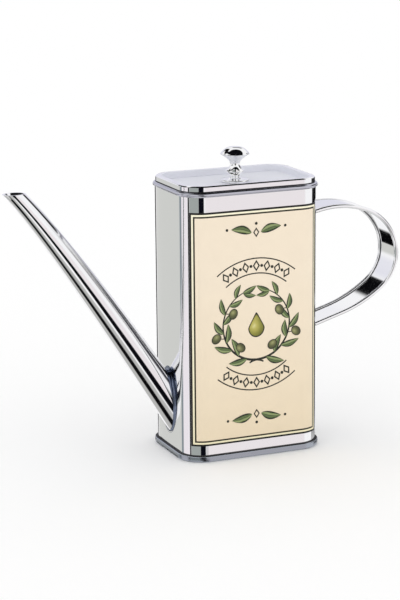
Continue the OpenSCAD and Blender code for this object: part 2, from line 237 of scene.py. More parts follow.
def buildBase():
    b, s = base, body["sheet"]
    e, out, high = b["edge"], b["seamOut"], b["seamHeight"]
    floorTop = b["floorLift"] + s
    profile = np.vstack([
        [[-6.0, b["floorLift"]], [-2 * s - 0.25, b["floorLift"]], [-2 * s, b["floorLift"] - 0.25]],
        arc(-2 * s + e / 2, e / 2, e / 2, 180, 270, 6),
        arc(out - e, e, e, -90, 0, 8), arc(out - e, high - e, e, 0, 90, 8),
        [[0.02, high], [0.02, body["foot"]], [-s - 0.02, body["foot"]], [-s - 0.02, floorTop], [-6.0, floorTop]]])
    pan = carryRound("basePan", profile, closeProfile=False, capFirst=True, capLast=True, runSteps=2)
    finishPiece(smoothTo(pan), "can", baseSeamPaintedShade, "base_steel", "base_plate")
    # the flat top of the seam ring, where it folds onto the wall, holds a painted shade line
    pan.data.materials.append(paintedCreviceShade)
    centre = np.empty(len(pan.data.polygons) * 3)
    pan.data.polygons.foreach_get("center", centre)
    seamTopShade = centre[2::3] > (high - 0.12) * mm
    pan.data.polygons.foreach_set("material_index", seamTopShade.astype(np.int32))
    return pan


# spout: a tapered tube on a bowed centre line, its mouth cut level and its root cut flat at the wall
spout = dict(reach=81.3, top=142.7, rootHeight=27.9, bowX=59.0, bowZ=118.0, tipRadius=4.3, rootRadius=8.45, taperPower=1.2,
             wall=0.7, sides=96, rings=140)


# centre line: a quadratic curve through tip, bow and root; radius grows with a power of the way along it
def spoutLine(t, across, inset):
    s = spout
    leftX = -body["width"] / 2
    tip, bow, root = np.array([leftX - s["reach"], s["top"] - 0.15]), np.array([leftX - s["bowX"], s["bowZ"]]), np.array(
        [leftX - body["sheet"], s["rootHeight"]])
    t = np.asarray(t)[..., None]
    middle = (1 - t) ** 2 * tip + 2 * t * (1 - t) * bow + t * t * root
    along = 2 * (1 - t) * (bow - tip) + 2 * t * (root - bow)
    side = np.stack([-along[..., 1], along[..., 0]], axis=-1) / np.linalg.norm(along, axis=-1, keepdims=True)
    radius = s["tipRadius"] + (s["rootRadius"] - s["tipRadius"]) * np.maximum(t[..., 0], 0) ** s["taperPower"] - inset
    return middle + (across * radius)[..., None] * side, radius


# for each line along the skin, the places where it meets the mouth's level and the wall, found by halving
def spoutEnds(across, inset):
    leftX = -body["width"] / 2
    ends = []
    for low, high, test in ((-0.3, 0.4, lambda p: p[..., 1] > spout["top"]), (0.6, 1.4, lambda p: p[..., 0] < leftX)):
        a, b = np.full(across.shape, low), np.full(across.shape, high)
        for _ in range(40):
            m = (a + b) / 2
            before = test(spoutLine(m, across, inset)[0])
            a, b = np.where(before, m, a), np.where(before, b, m)
        ends.append((a + b) / 2)
    return ends


def spoutSkin(inset):
    s = spout
    turn = np.linspace(0, 2 * np.pi, s["sides"], endpoint=False)
    across = np.cos(turn)
    start, stop = spoutEnds(across, inset)
    f = np.linspace(0, 1, s["rings"])[:, None]
    t = start[None] * (1 - f) + stop[None] * f
    place, radius = spoutLine(t, np.repeat(across[None], s["rings"], axis=0), inset)
    return np.stack([place[..., 0], radius * np.sin(turn)[None], place[..., 1]], axis=-1)


def buildSpout():
    outer, inner = spoutSkin(0.0), spoutSkin(spout["wall"])
    lip = (outer[:1] + inner[:1]) / 2 + np.array([0, 0, 0.0])
    points = np.concatenate([outer, inner[::-1]], axis=0)
    tube = gridMesh("spoutTube", points, closeRows=True, closeColumns=True, flip=True)
    return finishPiece(smoothTo(tube, 40), "can", spoutSteel, "spout_steel", "spout_tube")


# braze: a concave fillet round the spout's root. For each line along the tube a curve runs from the wall to the tube,
# drawn towards the corner between them; it is wider in the sharp upper corner than underneath
braze = dict(wideTop=3.9, wideLow=0.9, steps=12, sink=0.12)


def buildBraze():
    b = braze
    turn = np.linspace(0, 2 * np.pi, spout["sides"], endpoint=False)
    across = np.cos(turn)
    stop = spoutEnds(across, 0.0)[1]
    skin = np.array([np.stack([p[:, 0], r * np.sin(turn), p[:, 1]], -1)
                     for p, r in [spoutLine(stop - f, across, 0.0) for f in np.linspace(0, 0.14, 240)]])
    corner = skin[0]
    middle = corner.mean(axis=0)
    # width of the fillet at each side: the upper side of the tube is where it leans over the wall
    upward = (corner[:, 2] - corner[:, 2].min()) / np.ptp(corner[:, 2])
    wide = b["wideLow"] + (b["wideTop"] - b["wideLow"]) * upward ** 0.9
    outward = corner - middle
    outward[:, 0] = 0
    outward /= np.linalg.norm(outward, axis=1, keepdims=True)
    wall = corner + outward * wide[:, None]
    wall[:, 0] = -body["width"] / 2 - 0.16
    run = np.linalg.norm(skin - corner, axis=2)
    pick = np.argmin(np.abs(run - wide), axis=0)
    tube = skin[pick, np.arange(len(turn))]
    inward = (middle + np.array([tube[:, 0] * 0, tube[:, 1] * 0, tube[:, 2] * 0]).T) - corner
    u = np.linspace(0, 1, b["steps"])[:, None, None]
    curve = (1 - u) ** 2 * wall + 2 * u * (1 - u) * corner + u * u * tube
    back = corner + 0.25 * inward / np.linalg.norm(inward, axis=1, keepdims=True)
    back[:, 0] = -body["width"] / 2 + b["sink"]
    points = np.concatenate([curve, back[None]], axis=0)
    piece = gridMesh("spoutBraze", points, closeRows=True, closeColumns=True)
    check = bmesh.new()
    check.from_mesh(piece.data)
    bmesh.ops.recalc_face_normals(check, faces=check.faces)
    check.to_mesh(piece.data)
    check.free()
    return finishPiece(smoothTo(piece, 50), "can", brazePaintedShade, "spout_steel")


# handle: the strap's section is carried along a chain of arcs from the upper foot to the lower one
strap = dict(width=20.2, web=0.9, roll=1.1, rollOut=0.3, groove=0.55, footTop=119.5, footLength=11.0, bend=3.0, radii=(49.5, 28.2, 23.0, 73.0),
             headings=(90.0, 16.2602, -20.6097, -73.7398, -143.1301, -163.7398))


# path in the X-Z plane: each arc turns clockwise from one heading to the next; returns place, outward normal and lengths
def strapPath(step=1.0):
    s = strap
    wallX = body["width"] / 2 + s["web"] / 2
    at = np.array([wallX, s["footTop"] - s["footLength"]])
    places, normals = [], []

    def straight(length, heading):
        nonlocal at
        h = radians(heading)
        n = max(2, int(length / step))
        f = np.linspace(0, 1, n, endpoint=False)[:, None]
        places.append(at + f * length * np.array([np.cos(h), np.sin(h)]))
        normals.append(np.repeat([[-np.sin(h), np.cos(h)]], n, axis=0))
        at = at + length * np.array([np.cos(h), np.sin(h)])

    def bend(radius, fromHeading, toHeading):
        nonlocal at
        sign = 1 if toHeading < fromHeading else -1
        n = max(10, int(abs(radians(toHeading - fromHeading)) * radius / step))
        h = np.radians(np.linspace(fromHeading, toHeading, n, endpoint=False))
        h0, h1 = radians(fromHeading), radians(toHeading)
        hub = at + sign * radius * np.array([np.sin(h0), -np.cos(h0)])
        out = np.stack([-np.sin(h), np.cos(h)], axis=-1)
        places.append(hub + sign * radius * out)
        normals.append(out)
        at = hub + sign * radius * np.array([-np.sin(h1), np.cos(h1)])

    straight(s["footLength"], 90)
    radii = (s["bend"],) + s["radii"]
    for radius, a, b in zip(radii, s["headings"][:-1], s["headings"][1:]):
        bend(radius, a, b)
    slope = radians(s["headings"][-1])
    run = (at[0] - wallX - s["bend"] * (1 - abs(np.sin(slope)))) / abs(np.cos(slope))
    straight(run, s["headings"][-1])
    bend(s["bend"], s["headings"][-1], -90)
    straight(s["footLength"], -90)
    places.append(at[None])
    normals.append(normals[-1][-1:])
    places, normals = np.vstack(places), np.vstack(normals)
    lengths = np.r_[0, np.cumsum(np.linalg.norm(np.diff(places, axis=0), axis=1))]
    return places, normals, lengths


# section: a flat web between two rolled edges that stand out over its outer face; x points away from the fingers
def strapSection(rollSize, out, thick, halfWidth):
    middle, at = thick / 2 + out - rollSize, halfWidth - rollSize
    outer = np.degrees(np.arccos(np.clip((rollSize - out) / rollSize, -1, 1)))
    inner = np.degrees(np.arccos(np.clip((rollSize - thick - out) / rollSize, -1, 1)))
    upper = arc(middle, at, rollSize, -outer, 360 - inner, 30)
    lower = arc(middle, -at, rollSize, inner, 360 + outer, 30)
    near = strap["groove"] / np.linalg.norm(upper[-1] - lower[0])
    f = np.r_[near, np.linspace(near, 1 - near, 11)[1:-1], 1 - near][:, None]
    return np.vstack([upper, upper[-1] * (1 - f) + lower[0] * f, lower, lower[-1] * (1 - f) + upper[0] * f])


def buildStrap():
    s = strap
    places, normals, lengths = strapPath()
    total = lengths[-1]
    fromEnd = np.minimum(lengths, total - lengths)
    # the rolls are pressed flat near the feet and the foot's tip is round
    grow = np.clip((fromEnd - s["footLength"] - 2.2) / 3.0, 0, 1)
    grow = grow * grow * (3 - 2 * grow)
    roll = s["web"] * 0.505 + (s["roll"] - s["web"] * 0.505) * grow
    half = s["width"] / 2 - s["roll"] * (1 - grow)
    tipR = s["width"] / 2 - s["roll"]
    half = np.where(fromEnd < tipR, np.sqrt(np.clip(tipR ** 2 - (tipR - fromEnd) ** 2, 0.9, None)), half)
    points = []
    for place, normal, r, out, h in zip(places, normals, roll, s["rollOut"] * grow, half):
        section = strapSection(r, out, s["web"], max(h, r + 0.05))
        points.append(np.stack([place[0] + section[:, 0] * normal[0], section[:, 1], place[1] + section[:, 0] * normal[1]], axis=-1))
    points = np.array(points)
    piece = gridMesh("handleStrap", points, closeColumns=True, capFirst=True, capLast=True, flip=True)
    finishPiece(smoothTo(piece, 40), "can", strapSteel, "handle_steel", "handle_strap")
    # the web's first face beside each rolled edge carries a painted shade line where the roll closes on the web
    piece.data.materials.append(paintedCreviceShade)
    rows, columns = points.shape[:2]
    arcPoints, webPoints = 30, (columns - 60) // 2
    isShadedGroove = np.isin(np.arange(columns), [arcPoints - 1, arcPoints + webPoints - 1, columns - webPoints - 1, columns - 1])
    grooveShade = np.zeros(len(piece.data.polygons), dtype=np.int32)
    grooveShade[:(rows - 1) * columns] = (isShadedGroove[None] & (grow[:-1, None] > 0.6)).ravel()
    piece.data.polygons.foreach_set("material_index", grooveShade)
    return piece


# lid
lid = dict(rimHeight=3.0, rimWidth=3.4, inset=0.4, panelDrop=3.3, skirtLength=8.3, skirtGap=0.3, outerEdge=(0.62, 0.5), innerEdge=0.3,
           foot=0.7, seatShadeHeight=0.45)


# bevel with rounded ends: a curve between circle and straight line, from the top round to the wall
def bevel(x, z, wide, high, steps=14, power=1.08):
    t = np.radians(np.linspace(0, 90, steps + 1))
    return np.stack([x - wide + wide * np.cos(t) ** (2 / power), z - high + high * np.sin(t) ** (2 / power)], -1)


def buildLid():
    d, s = lid, body["sheet"]
    o, i = -d["inset"], -d["inset"] - d["rimWidth"]
    top, mouth = body["mouthTop"] + d["rimHeight"], body["mouthTop"]
    panel, inner, foot = top - d["panelDrop"], d["innerEdge"], 0.2
    wide, high = d["outerEdge"]
    profile = np.vstack([
        [[i - 4.0, panel - s]],
        arc(i - foot, panel + foot, foot + s, -90, 0, 10),
        [[i + s, top - s - 0.1], [i + s + 0.1, top - s]],
        bevel(o - s, top - s, 0.15, 0.12, 3)[::-1],
        [[o - s, mouth], [o, mouth], [o, mouth + d["seatShadeHeight"]]],
        bevel(o, top, wide, high),
        arc(i + inner, top - inner, inner, 90, 180, 10),
        arc(i - foot, panel + foot, foot, 0, -90, 8),
        [[i - 4.0, panel]]])
    cap = carryRound("lidCap", profile, closeProfile=False, capFirst=True, capLast=True, runSteps=2)
    finishPiece(smoothTo(cap), "lid", lidSteel, "lid_steel", "lid_cap")
    # how far each face lies inside the can's outer face tells the sunk panel and the seat's painted shade line from the
    # rest
    cap.data.materials.append(panelPaintedReflection)
    cap.data.materials.append(paintedCreviceShade)
    middles = np.empty(len(cap.data.polygons) * 3)
    cap.data.polygons.foreach_get("center", middles)
    middles = middles.reshape(-1, 3) / mm
    flatX = np.maximum(np.abs(middles[:, 0]) - (body["width"] / 2 - body["corner"]), 0)
    flatY = np.maximum(np.abs(middles[:, 1]) - (body["depth"] / 2 - body["corner"]), 0)
    inward = body["corner"] - np.hypot(flatX, flatY)
    recess = (inward > d["inset"] + d["rimWidth"] - d["innerEdge"] - 0.02) & (middles[:, 2] > panel - 0.01)
    seatShade = (inward < d["inset"] + 0.1) & (middles[:, 2] < mouth + d["seatShadeHeight"])
    cap.data.polygons.foreach_set("material_index", (recess + 2 * seatShade).astype(np.int32))
    outX = -(body["beadIn"] + body["beadRadius"] + d["skirtGap"])
    low = mouth - d["skirtLength"]
    under = panel - s
    skirtProfile = np.vstack([
        [[-8.0, under - s], [-8.0, under]],
        arc(outX - 1, under - 1, 1.0, 90, 0, 10),
        [[outX, low + 0.3], [outX - 0.3, low], [outX - s, low]],
        arc(outX - 1, under - 1, 1.0 - s, 0, 90, 8)])
    skirt = carryRound("lidSkirt", skirtProfile, runSteps=2)
    finishPiece(smoothTo(skirt), "lid", satinSteel, "skirt_steel", "lid_skirt")


# knob: one turned profile spun about the lid's middle
knob = dict(height=18.2, capRadius=7.55, footRadius=7.4, collarRadius=4.55, neckRadius=2.5, sides=128)


def knobProfile():
    k = knob
    h, foot, capR, col, neck = k["height"], k["footRadius"], k["capRadius"], k["collarRadius"], k["neckRadius"]
    footT, collarZ, capZ, waistZ, lowZ = 1.3, 0.3 * h, 0.79 * h, 0.53 * h, 0.155 * h
    low = neck - 0.3
    dome = h - capZ - 0.3
    f = np.linspace(0, 1, 25)[1:]
    g = 1 - f
    u = 1 - np.linspace(0, 1, 33)[1:-1]
    return np.vstack([
        [[0.9, 0]],
        arc(foot - footT / 2, footT / 2, footT / 2, -90, 80, 14),
        np.stack([low + (foot - footT / 2 - low) * g ** 2.6, footT + (lowZ - footT) * f ** 1.1], -1),
        np.stack([low + (col - low) * f ** 1.25, lowZ + (collarZ - 0.4 - lowZ) * f], -1),
        arc(col - 0.05, collarZ, 0.35, -60, 60, 8),
        np.stack([neck + (col - 0.15 - neck) * g * g, collarZ + 0.4 + (waistZ - collarZ - 0.4) * f], -1),
        np.stack([neck + (capR - 0.1 - neck) * f ** 1.7, waistZ + (capZ - waistZ) * f], -1),
        arc(capR - 0.15, capZ + 0.15, 0.15, -60, 60, 8),
        np.stack([capR * u, h - dome * u ** 3], -1),
        [[0.02, h]]])


def buildKnob():
    profile = knobProfile()
    floor = body["mouthTop"] + lid["rimHeight"] - lid["panelDrop"]
    turn = np.linspace(0, 2 * np.pi, knob["sides"], endpoint=False)
    r, z = profile[:, 0], profile[:, 1] + floor
    points = np.stack([r[:, None] * np.cos(turn), r[:, None] * np.sin(turn), np.repeat(z[:, None], len(turn), 1)], axis=-1)
    piece = gridMesh("lidKnob", points, closeColumns=True, capFirst=True, capLast=True)
    return finishPiece(smoothTo(piece, 40), "lid", knobSteel, "knob_steel", "lid_knob")


buildBody()
buildBase()
buildSpout()
buildBraze()
buildStrap()
buildLid()
buildKnob()
print("metal pieces made")

# label: printed film round the front and part of both front corners
label = dict(low=8.3, high=130.15, turn=48.0, thick=0.15, edgeLine=0.95, band=1.9, innerLine=0.85)


def buildLabel():
    s, t = body, label
    half = s["width"] / 2 - s["corner"]
    arcLen = radians(t["turn"]) * s["corner"]
    a = np.radians(np.linspace(t["turn"], 0, 25))
    left = np.stack([-half - s["corner"] * np.sin(a), -s["depth"] / 2 + s["corner"] * (1 - np.cos(a))], -1)
    leftN = np.stack([-np.sin(a), -np.cos(a)], -1)
    uLeft = -half - a * s["corner"]
    right, rightN = left[::-1] * [-1, 1], leftN[::-1] * [-1, 1]
    places, normals = np.vstack([left, right]), np.vstack([leftN, rightN])
    u = np.r_[uLeft, -uLeft[::-1]]
    v = np.linspace(t["low"], t["high"], 12)
    outer = np.empty((len(v), len(u), 3))
    outer[:, :, :2] = places + normals * t["thick"]
    outer[:, :, 2] = v[:, None]
    inner = outer.copy()
    inner[:, :, :2] = places
    uvOut = np.stack(np.broadcast_arrays(u[None, :], v[:, None]), -1)
    # one closed slab: out over the front, round the top edge, back down behind
    ring = np.concatenate([outer, inner[::-1]], axis=0)
    uv = np.concatenate([uvOut, uvOut[::-1]], axis=0)
    rows, columns = ring.shape[:2]
    film = gridMesh("frontLabel", ring, closeRows=True, uv=uv)
    # close the two upright edges
    mesh = film.data
    n = len(v)
    faces = [list(p.vertices) for p in mesh.polygons]
    for c, rev in ((0, False), (columns - 1, True)):
        for r in range(n - 1):
            q = [r * columns + c, (r + 1) * columns + c, (2 * n - 2 - r) * columns + c, (2 * n - 1 - r) * columns + c]
            faces.append(q[::-1] if rev else q)
    fresh = bpy.data.meshes.new("frontLabel")
    fresh.from_pydata((ring.reshape(-1, 3) * mm).tolist(), [], faces)
    layer = fresh.uv_layers.new(name="flat")
    corner = np.empty(len(fresh.loops), dtype=np.int32)
    fresh.loops.foreach_get("vertex_index", corner)
    layer.data.foreach_set("uv", uv.reshape(-1, 2)[corner].astype(np.float32).ravel())
    film.data = fresh
    bpy.data.meshes.remove(mesh)
    return finishPiece(smoothTo(film, 40), "can", labelFilm(arcLen + half), "label_print", "front_label")


# Printed film with a satin varnish: cream field, a fine olive line inside a pale band, a dark line at the cut edge.
# u runs across from the middle and v up from the table, both in millimetres.
def labelFilm(halfWidth):
    t = label
    material = bpy.data.materials.new("printedCreamFilm")
    material.use_nodes = True
    tree = material.node_tree
    tree.nodes.clear()
    uv = addNode(tree, "ShaderNodeUVMap", uv_map="flat")
    split = addNode(tree, "ShaderNodeSeparateXYZ", {"Vector": uv.outputs["UV"]})
    across = addNode(tree, "ShaderNodeMath", {0: split.outputs["X"]}, operation="ABSOLUTE")
    fromSide = addNode(tree, "ShaderNodeMath", {0: halfWidth, 1: across.outputs["Value"]}, operation="SUBTRACT")
    fromTop = addNode(tree, "ShaderNodeMath", {0: t["high"], 1: split.outputs["Y"]}, operation="SUBTRACT")
    fromLow = addNode(tree, "ShaderNodeMath", {0: split.outputs["Y"], 1: t["low"]}, operation="SUBTRACT")
    ends = addNode(tree, "ShaderNodeMath", {0: fromTop.outputs["Value"], 1: fromLow.outputs["Value"]}, operation="MINIMUM")
    inward = addNode(tree, "ShaderNodeMath", {0: ends.outputs["Value"], 1: fromSide.outputs["Value"]}, operation="MINIMUM")
    # colour by distance from the cut edge, over 0 to 4 mm
    ramp = addNode(tree, "ShaderNodeValToRGB", {"Fac": addNode(tree, "ShaderNodeMath", {0: inward.outputs["Value"], 1: 4.0},
                                                              operation="DIVIDE").outputs["Value"]})
    ramp.color_ramp.interpolation = "LINEAR"
    soft = 0.06
    stops = [(0.0, "100E08"), (t["edgeLine"], "100E08"), (t["edgeLine"] + soft, "FFF9DC"), (t["band"], "FFF9DC"),
             (t["band"] + soft, "2A2712"), (t["band"] + t["innerLine"], "2A2712"),
             (t["band"] + t["innerLine"] + soft, "F8E9D2"), (4.0, "F8E9D2")]
    elements = ramp.color_ramp.elements
    for k, (at, colour) in enumerate(stops):
        element = elements[k] if k < 2 else elements.new(at / 4.0)
        element.position = at / 4.0
        element.color = linear(colour)
    # the print is a little warmer and darker towards the foot, and has a faint mottle 9 mm across
    fall = addNode(tree, "ShaderNodeMapRange", {"Value": split.outputs["Y"], "From Min": 10.0, "From Max": 95.0, "To Min": 1.0,
                                               "To Max": 0.0})
    tint = addNode(tree, "ShaderNodeMix", {0: fall.outputs["Result"], 6: (1, 1, 1, 1), 7: linear("F7F4EA")},
                   data_type="RGBA", blend_type="MIX")
    warm = addNode(tree, "ShaderNodeMix", {0: 1.0, 6: ramp.outputs["Color"], 7: tint.outputs[2]}, data_type="RGBA",
                   blend_type="MULTIPLY")
    place = addNode(tree, "ShaderNodeTexCoord")
    mottle = addNode(tree, "ShaderNodeTexNoise", {"Vector": place.outputs["Object"], "Scale": 1000 / 9, "Detail": 3.0})
    mottleRange = addNode(tree, "ShaderNodeMapRange", {"Value": mottle.outputs["Fac"], "From Min": 0.3, "From Max": 0.7,
                                                      "To Min": 0.975, "To Max": 1.0})
    colour = addNode(tree, "ShaderNodeVectorMath", {0: warm.outputs[2], "Scale": mottleRange.outputs["Result"]}, operation="SCALE")
    # paper-like tooth of the film, 0.5 mm
    tooth = addNode(tree, "ShaderNodeTexNoise", {"Vector": place.outputs["Object"], "Scale": 1000 / 0.5, "Detail": 2.0})
    rough = addNode(tree, "ShaderNodeMapRange", {"Value": tooth.outputs["Fac"], "To Min": 0.42, "To Max": 0.58})
    bump = addNode(tree, "ShaderNodeBump", {"Height": tooth.outputs["Fac"], "Distance": 0.004 * mm, "Strength": 0.6})
    shader = addNode(tree, "ShaderNodeBsdfPrincipled", {"Base Color": colour.outputs["Vector"], "Roughness": rough.outputs["Result"],
                                                       "IOR": 1.46, "Normal": bump.outputs["Normal"]})
    addNode(tree, "ShaderNodeOutputMaterial", {"Surface": shader.outputs["BSDF"]})
    return material


buildLabel()

# printed design: a ring of olive twigs round an oil drop, between two bowed rows of lozenges; u across, v up, millimetres
design = dict(centre=(0.0, 70.0), ring=18.6, twigAngles=(-86.0, 66.0), leafStep=15.5, leafLength=10.6, leafWidth=3.7,
              olive=(2.35, 2.9), oliveAngles=(-52.0, -14.0, 27.0), rows=(26.8, 34.6), lozenges=(7, 7), topLeaves=118.0,
              lowLeaves=22.5, ink=0.03, step=0.0015)


# turns points by an angle in degrees about the origin and moves them
def turned(points, angle, place):
    a = radians(angle)
    return points @ np.array([[np.cos(a), np.sin(a)], [-np.sin(a), np.cos(a)]]) + np.asarray(place)


# leaf: x runs along the curved rib, the half width is a skewed half wave that is 0 at both ends
def leafPatch(place, angle, length, width, bend=0.0):
    along, across = np.meshgrid(np.linspace(0, 1, 17), np.linspace(-1, 1, 9), indexing="ij")
    half = width / 2 * np.sin(np.pi * along ** 0.85) ** 0.85
    flat = np.stack([along * length, across * half + bend * np.sin(np.pi * along)], -1)
    return turned(flat, angle, place), np.stack([along, across], -1)


# olive: rings of an ellipse from its middle out; drop: the same with its top drawn out to a point
def roundPatch(place, angle, size, point=0.0):
    out, turn = np.meshgrid(np.linspace(0, 1, 8), np.linspace(0, 2 * np.pi, 33), indexing="ij")
    x, y = out * np.cos(turn), out * np.sin(turn)
    narrow = 1 - point * np.clip(y, 0, 1) ** 1.3
    flat = np.stack([x * size[0] * narrow, y * size[1] * (1 + point * np.clip(y, 0, 1))], -1)
    return turned(flat, angle, place), np.stack([x, y], -1)


# stroke: a band of changing width along a curve, its two edges being the curve moved half the width sideways
def strokePatch(curve, width):
    along = np.gradient(curve, axis=0)
    side = np.stack([-along[:, 1], along[:, 0]], -1) / np.linalg.norm(along, axis=1, keepdims=True)
    half = np.broadcast_to(np.asarray(width) / 2, len(curve))[:, None]
    grid = np.stack([curve - side * half, curve + side * half], axis=1)
    f = np.linspace(0, 1, len(curve))[:, None] * np.ones((1, 2))
    return grid, np.stack([f, np.broadcast_to([-1.0, 1.0], f.shape)], -1)


# lozenge outline: four corners outside and the same four drawn in
def lozengePatch(place, angle, size, line):
    corners = np.array([[size[0], 0], [0, size[1]], [-size[0], 0], [0, -size[1]], [size[0], 0]])
    grid = np.stack([turned(corners, angle, place), turned(corners * (1 - line), angle, place)], axis=1)
    return grid, np.zeros(grid.shape)


# patches become one printed sheet on the label's face, each a hair higher than the last so that none coincide
def printSheet(name, patches, lift, material):
    face = body["depth"] / 2 + label["thick"]
    places, faces, maps, count = [], [], [], 0
    for k, (grid, uv) in enumerate(patches):
        rows, columns = grid.shape[:2]
        i, j = np.arange(rows - 1)[:, None] * columns, np.arange(columns - 1)[None, :]
        quads = np.stack([i + j, i + j + 1, i + j + columns + 1, i + j + columns], -1).reshape(-1, 4)
        flat = grid.reshape(-1, 2)
        x, y = flat[quads][..., 0], flat[quads][..., 1]
        area = (x * np.roll(y, -1, 1) - y * np.roll(x, -1, 1)).sum()
        faces.append((quads if area > 0 else quads[:, ::-1]) + count)
        places.append(np.stack([flat[:, 0], np.full(len(flat), -face - lift - k * design["step"]), flat[:, 1]], -1))
        maps.append(uv.reshape(-1, 2))
        count += len(flat)
    places, faces, maps = np.vstack(places), np.vstack(faces), np.vstack(maps)
    mesh = bpy.data.meshes.new(name)
    mesh.from_pydata((places * mm).tolist(), [], faces.tolist())
    layer = mesh.uv_layers.new(name="flat")
    corner = np.empty(len(mesh.loops), dtype=np.int32)
    mesh.loops.foreach_get("vertex_index", corner)
    layer.data.foreach_set("uv", maps[corner].astype(np.float32).ravel())
    piece = addPiece(name, mesh)
    merged = bmesh.new()
    merged.from_mesh(mesh)
    bmesh.ops.remove_doubles(merged, verts=merged.verts, dist=2e-7)
    bmesh.ops.dissolve_degenerate(merged, edges=merged.edges, dist=1e-7)
    merged.to_mesh(mesh)
    merged.free()
    thick = piece.modifiers.new("film", "SOLIDIFY")
    thick.thickness, thick.offset = lift * mm, -1.0
    return finishPiece(piece, "can", material, "label_print")


# Screen-printed ink: matt, a little uneven; what its colour follows is given by socket, the rest is alike
def printInk(name, makeColour, roughness=0.5):
    material = bpy.data.materials.new(name)
    material.use_nodes = True
    tree = material.node_tree
    tree.nodes.clear()
    uv = addNode(tree, "ShaderNodeUVMap", uv_map="flat")
    split = addNode(tree, "ShaderNodeSeparateXYZ", {"Vector": uv.outputs["UV"]})
    place = addNode(tree, "ShaderNodeTexCoord")
    # brush-like mottle 2.5 mm across
    mottle = addNode(tree, "ShaderNodeTexNoise", {"Vector": place.outputs["Object"], "Scale": 1000 / 2.5, "Detail": 4.0})
    colour = makeColour(tree, split, mottle)
    rough = addNode(tree, "ShaderNodeMapRange", {"Value": mottle.outputs["Fac"], "To Min": roughness - 0.08, "To Max": roughness + 0.08})
    shader = addNode(tree, "ShaderNodeBsdfPrincipled", {"Base Color": colour, "Roughness": rough.outputs["Result"], "IOR": 1.46})
    addNode(tree, "ShaderNodeOutputMaterial", {"Surface": shader.outputs["BSDF"]})
    return material


# a colour ramp over 0 to 1 from (place, hex colour) pairs
def rampOf(tree, value, stops):
    ramp = addNode(tree, "ShaderNodeValToRGB", {"Fac": value})
    elements = ramp.color_ramp.elements
    for k, (at, colour) in enumerate(stops):
        element = elements[k] if k < 2 else elements.new(at)
        element.position = at
        element.color = linear(colour)
    return ramp.outputs["Color"]


# leaf: dark outline and rib, one half lighter than the other
def leafColour(tree, split, mottle):
    wander = addNode(tree, "ShaderNodeMath", {0: mottle.outputs["Fac"], 1: 0.5}, operation="SUBTRACT")
    across = addNode(tree, "ShaderNodeMath", {0: wander.outputs["Value"], 1: 0.5, 2: split.outputs["Y"]}, operation="MULTIPLY_ADD")
    half = addNode(tree, "ShaderNodeMath", {0: across.outputs["Value"], 1: 0.5, 2: 0.5}, operation="MULTIPLY_ADD")
    return rampOf(tree, half.outputs["Value"], [(0.0, "171C12"), (0.14, "232B19"), (0.22, "55683A"), (0.4, "65794A"), (0.46, "2E3922"),
                                               (0.54, "7D8E58"), (0.7, "9AA873"), (0.82, "6C7E49"), (0.88, "2A321E"), (1.0, "171C12")])


# olive and drop: shaded like a ball from a bright spot up on the left to a dark outline
def ballColour(stops):
    def make(tree, split, mottle):
        x = addNode(tree, "ShaderNodeMath", {0: split.outputs["X"], 1: 0.28}, operation="ADD")
        y = addNode(tree, "ShaderNodeMath", {0: split.outputs["Y"], 1: 0.22}, operation="SUBTRACT")
        spot = addNode(tree, "ShaderNodeCombineXYZ", {"X": x.outputs["Value"], "Y": y.outputs["Value"]})
        away = addNode(tree, "ShaderNodeVectorMath", {0: spot.outputs["Vector"]}, operation="LENGTH")
        rim = addNode(tree, "ShaderNodeVectorMath", {0: addNode(tree, "ShaderNodeCombineXYZ", {
            "X": split.outputs["X"], "Y": split.outputs["Y"]}).outputs["Vector"]}, operation="LENGTH")
        edge = addNode(tree, "ShaderNodeMapRange", {"Value": rim.outputs["Value"], "From Min": 0.82, "From Max": 0.92,
                                                    "To Min": 0.0, "To Max": 1.0})
        wander = addNode(tree, "ShaderNodeMath", {0: mottle.outputs["Fac"], 1: 0.35, 2: away.outputs["Value"]},
                         operation="MULTIPLY_ADD")
        shade = addNode(tree, "ShaderNodeMath", {0: wander.outputs["Value"], 1: 0.62}, operation="MULTIPLY")
        fill = rampOf(tree, shade.outputs["Value"], stops)
        return addNode(tree, "ShaderNodeMix", {0: edge.outputs["Result"], 6: fill, 7: linear("23261A")}, data_type="RGBA").outputs[2]
    return make


def plainColour(tree, split, mottle):
    return rampOf(tree, mottle.outputs["Fac"], [(0.3, "1B1E15"), (0.7, "2B2F22")])


